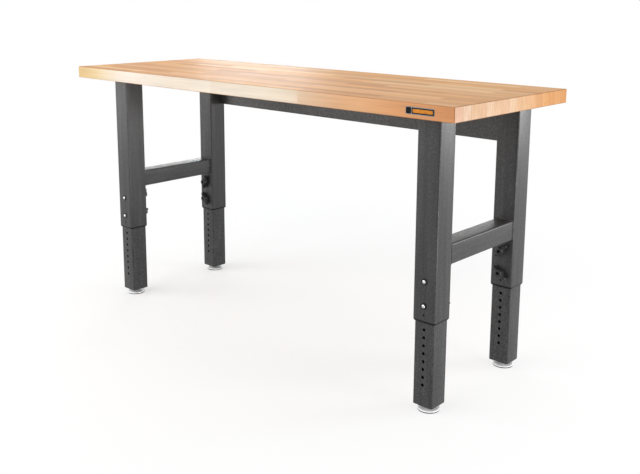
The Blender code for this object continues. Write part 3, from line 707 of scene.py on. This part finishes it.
def square_tube(name, width, wall, corner, low, high, inset=0.0, height=0.0, mouth=None):
    """A square tube along Z.

    Its lower outer edge curves in by inset over height, and mouth is the width of its narrowed opening.
    """
    rings = []
    steps = TUBE_END_STEPS if inset > 0.0 else 0
    for step in range(steps + 1):
        angle = math.pi / 2 * step / max(steps, 1)
        pull = inset * (1 - math.sin(angle)) if steps else 0.0
        rise = height * (1 - math.cos(angle)) if steps else 0.0
        rings.append(rounded_square(width - 2 * pull, corner, low + rise))
    rings.append(rounded_square(width, corner, high))
    inner = width - 2 * wall
    inner_corner = corner - wall + INNER_CORNER_EXTRA
    rings.append(rounded_square(inner, inner_corner, high))
    if mouth is None:
        rings.append(rounded_square(inner, inner_corner, low))
    else:
        rings.append(rounded_square(inner, inner_corner, low + height))
        for level in (low + height / 2, low):
            rings.append(rounded_square(mouth, corner - wall + MOUTH_CORNER_EXTRA, level))
    return loft(name, rings, closed=True)


def joined(name, meshes):
    """Several meshes as one, each keeping its own material number."""
    merged = bmesh.new()
    for index, mesh in enumerate(meshes):
        start = len(merged.faces)
        merged.from_mesh(mesh)
        merged.faces.ensure_lookup_table()
        for face in merged.faces[start:]:
            face.material_index = index
    result = bpy.data.meshes.new(name)
    merged.to_mesh(result)
    merged.free()
    return result


def drilled(mesh, holes):
    """Bore holes along Y through a mesh on the Z axis; a hole is its middle's height and its diameter."""
    tools = bmesh.new()
    for height, diameter in holes:
        turn = Matrix.Translation((0.0, 0.0, height)) @ Matrix.Rotation(math.pi / 2, 4, "X")
        bmesh.ops.create_cone(
            tools, cap_ends=True, segments=DRILL_SIDES, radius1=diameter / 2, radius2=diameter / 2,
            depth=DRILL_LENGTH, matrix=turn)
    tool_mesh = bpy.data.meshes.new("tool")
    tools.to_mesh(tool_mesh)
    tools.free()
    body = bpy.data.objects.new("drilled_body", mesh)
    tool = bpy.data.objects.new("drill_tool", tool_mesh)
    for item in (body, tool):
        bpy.context.scene.collection.objects.link(item)
    modifier = body.modifiers.new("drill", "BOOLEAN")
    modifier.object = tool
    modifier.operation = "DIFFERENCE"
    modifier.solver = "EXACT"
    ready = body.evaluated_get(bpy.context.evaluated_depsgraph_get())
    result = bpy.data.meshes.new_from_object(ready)
    result.name = mesh.name
    bpy.data.objects.remove(body)
    bpy.data.objects.remove(tool)
    return result


# Pieces
def box_of(node):
    low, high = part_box(node)
    return Vector(low), Vector(high)


def middle_of(node):
    low, high = box_of(node)
    return (low + high) / 2


def piece(name, mesh, body, materials, node, place):
    """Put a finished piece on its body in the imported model, in place of the node it stands for."""
    mesh = mesh.copy()
    mesh.transform(place)
    mesh.shade_smooth()
    mesh.set_sharp_from_angle(angle=math.radians(SMOOTH_BELOW))
    for material in materials:
        mesh.materials.append(material)
    item = bpy.data.objects.new(name, mesh)
    bpy.context.scene.collection.objects.link(item)
    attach(item, body)
    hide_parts(node)


def upper_tubes(paint):
    for row, side in CORNERS:
        node = f"upper_tube_{row}_{side}"
        name = f"sleeve_{row}_{side}"
        low, high = box_of(node)
        mesh = square_tube(
            name, high.x - low.x, UPPER_TUBE_WALL, UPPER_TUBE_CORNER, low.z, high.z,
            SLEEVE_END_INSET, SLEEVE_END_HEIGHT, SLEEVE_MOUTH_WIDTH)
        lower_bolt, upper_bolt = (middle_of(f"leg_bolt_{row}_{side}_{level}").z for level in LEVELS)
        mesh = drilled(mesh, [
            (lower_bolt - SPARE_HOLE_BELOW_BOLT, SPARE_HOLE_DIAMETER),
            (lower_bolt, LEG_HOLE_DIAMETER),
            (upper_bolt, LEG_HOLE_DIAMETER),
        ])
        place = Matrix.Translation(((low.x + high.x) / 2, (low.y + high.y) / 2, 0.0))
        piece(name, mesh, "bench", [paint], node, place)


def lower_tubes(paint):
    for row, side in CORNERS:
        node = f"lower_tube_{row}_{side}"
        name = f"inner_leg_{row}_{side}"
        low, high = box_of(node)
        mesh = square_tube(
            name, high.x - low.x, LOWER_TUBE_WALL, LOWER_TUBE_CORNER, low.z, high.z,
            LOWER_TUBE_EASE, LOWER_TUBE_EASE)
        first = low.z + FIRST_HOLE_HEIGHT
        mesh = drilled(mesh, [
            (first + number * HOLE_PITCH, LEG_HOLE_DIAMETER) for number in range(LEG_HOLES)])
        place = Matrix.Translation(((low.x + high.x) / 2, (low.y + high.y) / 2, 0.0))
        piece(name, mesh, f"leg_{row}_{side}", [paint], node, place)


def weld_bead(width, y, toward):
    """A thin rippled bead round a crossbar's end, in the corner between it and the leg's face."""
    outline = rounded_outline(width, width, CROSSBAR_CORNER)
    dense = []
    for (x, z), (next_x, next_z) in zip(outline, outline[1:] + outline[:1]):
        parts = max(1, round(math.hypot(next_x - x, next_z - z) / WELD_STEP))
        for part in range(parts):
            share = part / parts
            dense.append((x + (next_x - x) * share, z + (next_z - z) * share))
    rings = []
    for index, (x, z) in enumerate(dense):
        before = dense[index - 1]
        after = dense[(index + 1) % len(dense)]
        tangent = Vector((after[0] - before[0], after[1] - before[1])).normalized()
        outward = Vector((tangent.y, -tangent.x))
        lump = field.noise((x * WELD_LUMPS_PER_METRE, z * WELD_LUMPS_PER_METRE, y))
        ripple = math.sin(index * WELD_RIPPLE_TURN)
        radius = WELD_RADIUS + WELD_RIPPLE * ripple + WELD_UNEVENNESS * lump
        ring = [(x + outward.x * radius, y - toward * WELD_ROOT, z + outward.y * radius)]
        for step in range(WELD_ARC_STEPS + 1):
            angle = math.pi / 2 * step / WELD_ARC_STEPS
            reach = radius * math.cos(angle)
            depth = radius * math.sin(angle)
            ring.append((x + outward.x * reach, y + toward * depth, z + outward.y * reach))
        for depth in (0.0, WELD_ROOT):
            ring.append((x - outward.x * WELD_OVERLAP, y - toward * depth, z - outward.y * WELD_OVERLAP))
        rings.append(ring)
    return loft("bead", rings, closed=True)


def crossbars(paint):
    for side in SIDES:
        node = f"crossbar_{side}"
        name = f"cross_tube_{side}"
        low, high = box_of(node)
        width = high.x - low.x
        half = (high.y - low.y) / 2
        tube = square_tube("bar", width, CROSSBAR_WALL, CROSSBAR_CORNER, -half, half)
        tube.transform(Matrix.Rotation(math.pi / 2, 4, "X"))
        front_bead = weld_bead(width, -half - TOUCH_GAP, 1)
        rear_bead = weld_bead(width, half + TOUCH_GAP, -1)
        mesh = joined(name, [tube, front_bead, rear_bead])
        place = Matrix.Translation((low + high) / 2)
        piece(name, mesh, "bench", [paint, paint, paint], node, place)


def bolt_shape():
    """A domed bolt along +Z on a washer made near black as painted shade round the dome; the underside of
    the washer is at z = 0.
    """
    bolt = [(BOLT_DOME_TIP_RADIUS, -WASHER_THICKNESS - BOLT_DOME_HEIGHT)]
    for step in range(1, BOLT_DOME_STEPS + 1):
        angle = math.pi / 2 * step / BOLT_DOME_STEPS
        crown = BOLT_DOME_RIM + (BOLT_DOME_HEIGHT - BOLT_DOME_RIM) * math.cos(angle)
        bolt.append((BOLT_DOME_RADIUS * math.sin(angle), -WASHER_THICKNESS - crown))
    bolt += [
        (BOLT_DOME_RADIUS, -WASHER_THICKNESS),
        (BOLT_RADIUS, -WASHER_THICKNESS),
        (BOLT_RADIUS, BOLT_SHANK - BOLT_END_CHAMFER),
        (BOLT_RADIUS - BOLT_END_CHAMFER, BOLT_SHANK),
    ]
    washer = [
        (BOLT_RADIUS, -WASHER_THICKNESS),
        (WASHER_RADIUS - WASHER_EASE_ACROSS, -WASHER_THICKNESS),
        (WASHER_RADIUS, -WASHER_THICKNESS + WASHER_EASE_UP),
        (WASHER_RADIUS, 0.0),
        (BOLT_RADIUS, 0.0),
    ]
    bolt_mesh = turned("bolt", bolt, BOLT_STEPS)
    washer_mesh = turned("washer", washer, BOLT_STEPS, closed=True)
    return joined("leg_bolt", [bolt_mesh, washer_mesh])


def wing_reach(angle, half_span, half_thickness):
    """How far a bar with round ends reaches from its middle in a direction."""
    side = abs(math.sin(angle))
    ahead = abs(math.cos(angle))
    straight = half_span - half_thickness
    if side > 0.0 and half_thickness * ahead / side <= straight:
        return half_thickness / side
    return straight * ahead + math.sqrt(max(half_thickness ** 2 - (straight * side) ** 2, 0.0))


def knob_outline(half_span, half_thickness, hub_radius):
    """Hub and two wings seen along the bolt, flowing into each other; points are closer at the tips."""
    shares = [step / KNOB_QUARTER_POINTS for step in range(KNOB_QUARTER_POINTS)]
    quarter = [math.pi / 2 * share ** KNOB_TIP_CROWDING for share in shares]
    half = quarter + [math.pi / 2] + [math.pi - angle for angle in reversed(quarter[1:])]
    points = []
    for angle in half + [math.pi + angle for angle in half]:
        wing = wing_reach(angle, half_span, half_thickness)
        reach = (wing ** KNOB_BLEND + hub_radius ** KNOB_BLEND) ** (1 / KNOB_BLEND)
        points.append((reach * math.cos(angle), reach * math.sin(angle)))
    return points


def knob_shape():
    """A wing knob along +Z: base at z = 0, wings along X, a deep hole in its outer end."""
    rings = [ring_at(knob_outline(span, half, hub), height) for height, span, half, hub in KNOB_SECTIONS]
    angles = [math.atan2(y, x) for x, y, _ in rings[0]]
    for radius, height in KNOB_HOLE:
        rings.append([(radius * math.cos(angle), radius * math.sin(angle), height) for angle in angles])
    return loft("wing_knob", rings, closed=True)


def bolts_and_knobs(zinc, washer, plastic):
    bolt = bolt_shape()
    knob = knob_shape()
    for row, side in CORNERS:
        outward = ROWS[row]
        low, high = box_of(f"upper_tube_{row}_{side}")
        outer, inner = (low.y, high.y) if row == "front" else (high.y, low.y)
        along = Matrix.Rotation(outward * math.pi / 2, 4, "X")
        for level in LEVELS:
            name = f"{row}_{side}_{level}"
            node = f"leg_bolt_{name}"
            middle = middle_of(node)
            place = Matrix.Translation((middle.x, outer + outward * TOUCH_GAP, middle.z)) @ along
            piece(f"bolt_{name}", bolt, "bench", [zinc, washer], node, place)
            node = f"knob_{name}"
            turn = Matrix.Rotation(-math.radians(KNOB_TURNS[row, side, level]), 4, "Y")
            place = Matrix.Translation((middle.x, inner - outward * TOUCH_GAP, middle.z)) @ turn @ along
            piece(f"wing_{name}", knob, f"{node}_body", [plastic], node, place)


def pad_shape():
    """A pressed metal cup on a plastic base; the floor is at z = 0."""
    cup = turned("cup", PAD_CUP, PAD_STEPS, closed=True)
    base = turned("base", PAD_BASE, PAD_STEPS)
    return joined("foot_pad", [cup, base])


def stud_shape(low, high):
    """A threaded stud along Z with a plain lower end."""
    height = low + STUD_PLAIN_END
    profile = [
        (STUD_RADIUS - STUD_LOWER_CHAMFER, low),
        (STUD_RADIUS, low + STUD_LOWER_CHAMFER),
        (STUD_RADIUS, height),
    ]
    while height + THREAD_PITCH < high - THREAD_END_GAP:
        for share, depth in THREAD_OUTLINE:
            profile.append((STUD_RADIUS - depth, height + THREAD_PITCH * share))
        height += THREAD_PITCH
    profile += [(STUD_RADIUS, high - STUD_UPPER_CHAMFER), (STUD_RADIUS - STUD_UPPER_CHAMFER, high)]
    return turned("stud", profile, STUD_STEPS)


def feet(pad_steel, base_plastic, stud_steel):
    pad = pad_shape()
    for row, side in CORNERS:
        name = f"{row}_{side}"
        body = f"foot_{name}"
        node = f"foot_pad_{name}"
        middle = middle_of(node)
        place = Matrix.Translation((middle.x, middle.y, 0.0))
        piece(f"pad_{name}", pad, body, [pad_steel, base_plastic], node, place)
        node = f"foot_stud_{name}"
        low, high = box_of(node)
        piece(f"stud_{name}", stud_shape(low.z, high.z), body, [stud_steel], node, place)


def panel(name, middle_x, width, height, corner, low, high):
    """A thin rounded panel in the plate's plane, with an eased front edge."""
    rings = []
    for inset, level in ((0.0, low), (0.0, high - PANEL_EASE), (PANEL_EASE, high)):
        outline = rounded_outline(width - 2 * inset, height - 2 * inset, max(corner - inset, PANEL_EASE))
        rings.append([(x + middle_x, y, level) for x, y in outline])
    return loft(name, rings)


def badge(rim_metal, black, orange):
    """A bare generic plate: a black block, and an orange field in a black surround."""
    low, high = box_of("badge_plate")
    width = high.x - low.x
    height = high.z - low.z
    depth = high.y - low.y
    block_middle = -width / 2 + BADGE_MARGIN + BADGE_BLOCK_WIDTH / 2
    block_height = height - 2 * BADGE_MARGIN
    surround_width = width - BADGE_SURROUND_NARROWER
    surround_height = height - 2 * BADGE_SURROUND_MARGIN
    field_width = surround_width - 2 * BADGE_FRAME
    field_height = surround_height - 2 * BADGE_FRAME
    panels_back = depth * BADGE_PANELS_BACK
    mesh = joined("edge_plate", [
        panel("plate", 0.0, width, height, BADGE_CORNER, 0.0, depth * BADGE_PLATE_FRONT),
        panel(
            "block", block_middle, BADGE_BLOCK_WIDTH, block_height, BADGE_BLOCK_CORNER, panels_back, depth),
        panel(
            "surround", BADGE_SURROUND_SHIFT, surround_width, surround_height, BADGE_SURROUND_CORNER,
            panels_back, depth * BADGE_SURROUND_FRONT),
        panel(
            "field", BADGE_SURROUND_SHIFT, field_width, field_height, BADGE_FIELD_CORNER,
            depth * BADGE_FIELD_BACK, depth),
    ])
    upright = Matrix.Rotation(math.pi / 2, 4, "X")
    place = Matrix.Translation(((low.x + high.x) / 2, high.y, (low.z + high.z) / 2)) @ upright
    piece("edge_plate", mesh, "bench", [rim_metal, black, black, orange], "badge_plate", place)


def dress(node, material):
    """Give a carried-over piece its finish."""
    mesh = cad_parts[node].data
    mesh.materials.clear()
    mesh.materials.append(material)


def build_looks():
    wood = wood_material()
    beam_paint = paint_material(
        "hammered_paint_beam", BEAM_STREAKS, mottling=0.6, streaks=0.35, colour=BEAM_GREY)
    bar_paint = paint_material("hammered_paint_bar", BAR_STREAKS, mottling=0.55)
    leg_paint = paint_material("hammered_paint_leg", LEG_STREAKS, wear=0.5)
    sleeve_mouth = box_of("upper_tube_front_left")[0].z
    sleeve_paint = paint_material(
        "hammered_paint_sleeve", SLEEVE_STREAKS, mottling=0.55, mouth=sleeve_mouth)
    zinc = steel_material("zinc", ZINC, roughness=0.28)
    # The washers' near-black tone is painted shade round the bolt domes
    dark_steel_and_painted_shade = steel_material("dark_steel_and_painted_shade", WASHER_STEEL_AND_PAINTED_SHADE, roughness=0.55, metallic=0.6)
    # Painted light: the pads' zinc is made nearly white and hardly metallic
    pad_zinc_and_painted_light = steel_material("pad_zinc_and_painted_light", PAD_ZINC_AND_PAINTED_LIGHT, roughness=0.5, metallic=0.12)
    rim_metal = steel_material("brushed_rim", RIM_STEEL, roughness=0.4)
    plastic = plastic_material("moulded_plastic", PLASTIC_BLACK)
    pad_base = plastic_material("pad_base_plastic", PAD_BASE_BLACK, roughness=0.6, gloss=0.1)
    black_enamel = plastic_material("black_enamel", BADGE_BLACK, roughness=0.5, gloss=0.06)
    orange_enamel = plastic_material("orange_enamel", BADGE_ORANGE, roughness=0.4, gloss=0.2)
    # By the start of a node's name; all other nodes are zinc
    finishes = {
        "worktop": wood,
        "top_plate": beam_paint,
        "rear_beam": beam_paint,
        "beam_bracket": beam_paint,
        "upper_tube": bar_paint,
        "crossbar": bar_paint,
        "lower_tube": leg_paint,
        "knob": plastic,
        "leg_plug": plastic,
    }
    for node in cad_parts:
        material = next((finishes[start] for start in finishes if node.startswith(start)), zinc)
        dress(node, material)
    upper_tubes(sleeve_paint)
    lower_tubes(leg_paint)
    crossbars(bar_paint)
    bolts_and_knobs(zinc, dark_steel_and_painted_shade, plastic)
    feet(pad_zinc_and_painted_light, pad_base, zinc)
    badge(rim_metal, black_enamel, orange_enamel)


# Studio
def build_floor():
    grid = bmesh.new()
    bmesh.ops.create_grid(grid, x_segments=1, y_segments=1, size=FLOOR_HALF_WIDTH)
    mesh = bpy.data.meshes.new("floor")
    grid.to_mesh(mesh)
    grid.free()
    floor = bpy.data.objects.new("floor", mesh)
    bpy.context.scene.collection.objects.link(floor)
    mesh.materials.append(floor_material())


def build_world():
    world = bpy.data.worlds.new("studio")
    bpy.context.scene.world = world
    world.use_nodes = True
    tree = world.node_tree
    background = tree.nodes["Background"]
    background.inputs["Color"].default_value = (*WHITE, 1.0)
    strength = spread(tree, seen_directly(tree), 0.0, 1.0, WORLD_LIGHT, 1.0)
    tree.links.new(strength, background.inputs["Strength"])


def softbox(name, place, target, size, power, colour=WHITE, cone=math.pi):
    """A rectangular lamp that faces target, unseen by the camera; cone narrows its light."""
    light = bpy.data.lights.new(name, "AREA")
    light.shape = "RECTANGLE"
    light.size, light.size_y = size
    light.energy = power
    light.color = colour
    light.spread = cone
    lamp = bpy.data.objects.new(name, light)
    bpy.context.scene.collection.objects.link(lamp)
    lamp.location = place
    lamp.rotation_mode = "QUATERNION"
    lamp.rotation_quaternion = (Vector(target) - Vector(place)).to_track_quat("-Z", "Y")
    lamp.visible_camera = False


def build_lights():
    """A large lamp in front lights the bench, and each smaller one lifts a side or a part of it."""
    softbox("left_front", (-2.6, -2.0, 0.60), (-0.8, -0.3, 0.76), (1.8, 0.64), 12.0)
    softbox("front", (-1.9, -3.8, 2.4), (-0.3, -0.3, 0.8), (6.0, 3.0), 190.0)
    softbox("right_end", (3.0, 0.3, 0.62), (0.6, 0.0, 0.6), (1.0, 1.1), 16.0)
    softbox("right_back", (2.2, 1.65, 0.77), (0.85, 0.0, 0.8), (0.9, 0.34), 25.0)
    softbox("right_low", (2.6, -0.05, 0.15), (0.8, -0.05, 0.33), (1.0, 0.25), 1.5, cone=NARROW_CONE)
    softbox("inner_left", (0.35, -0.30, 0.12), (-0.72, -0.25, 0.88), (0.3, 0.3), 0.85, cone=NARROW_CONE)
    softbox("left_bar", (-2.7, 1.45, 0.80), (-0.76, 0.0, 0.53), (0.6, 0.22), 4.0)
    softbox("right_bar", (-0.5, 2.0, 0.84), (0.77, 0.0, 0.53), (0.6, 0.2), 2.0)
    softbox("overhead", (-1.1, 0.5, 3.2), (-0.7, 0.0, 0.95), (2.4, 1.4), 11.0)
    softbox("back_left", (-2.76, 2.41, 1.45), (-0.25, 0.0, 0.96), (0.9, 0.6), 11.0, COOL_WHITE)


def build_camera():
    yaw, pitch, roll = CAMERA_YAW, CAMERA_PITCH, CAMERA_ROLL
    ahead = math.cos(pitch)
    forward = Vector((-math.sin(yaw) * ahead, math.cos(yaw) * ahead, -math.sin(pitch)))
    level_right = Vector((math.cos(yaw), math.sin(yaw), 0.0))
    level_up = level_right.cross(forward)
    right = math.cos(roll) * level_right + math.sin(roll) * level_up
    up = right.cross(forward)
    data = bpy.data.cameras.new("camera")
    data.lens = CAMERA_LENS
    data.sensor_width = CAMERA_SENSOR
    data.shift_y = CAMERA_SHIFT_Y
    camera = bpy.data.objects.new("camera", data)
    bpy.context.scene.collection.objects.link(camera)
    turn = Matrix((right, up, -forward)).transposed().to_4x4()
    camera.matrix_world = Matrix.Translation(CAMERA_PLACE) @ turn
    bpy.context.scene.camera = camera


bpy.context.scene.view_settings.view_transform = "Standard"
build_camera()
build_world()
build_lights()
build_floor()
build_looks()
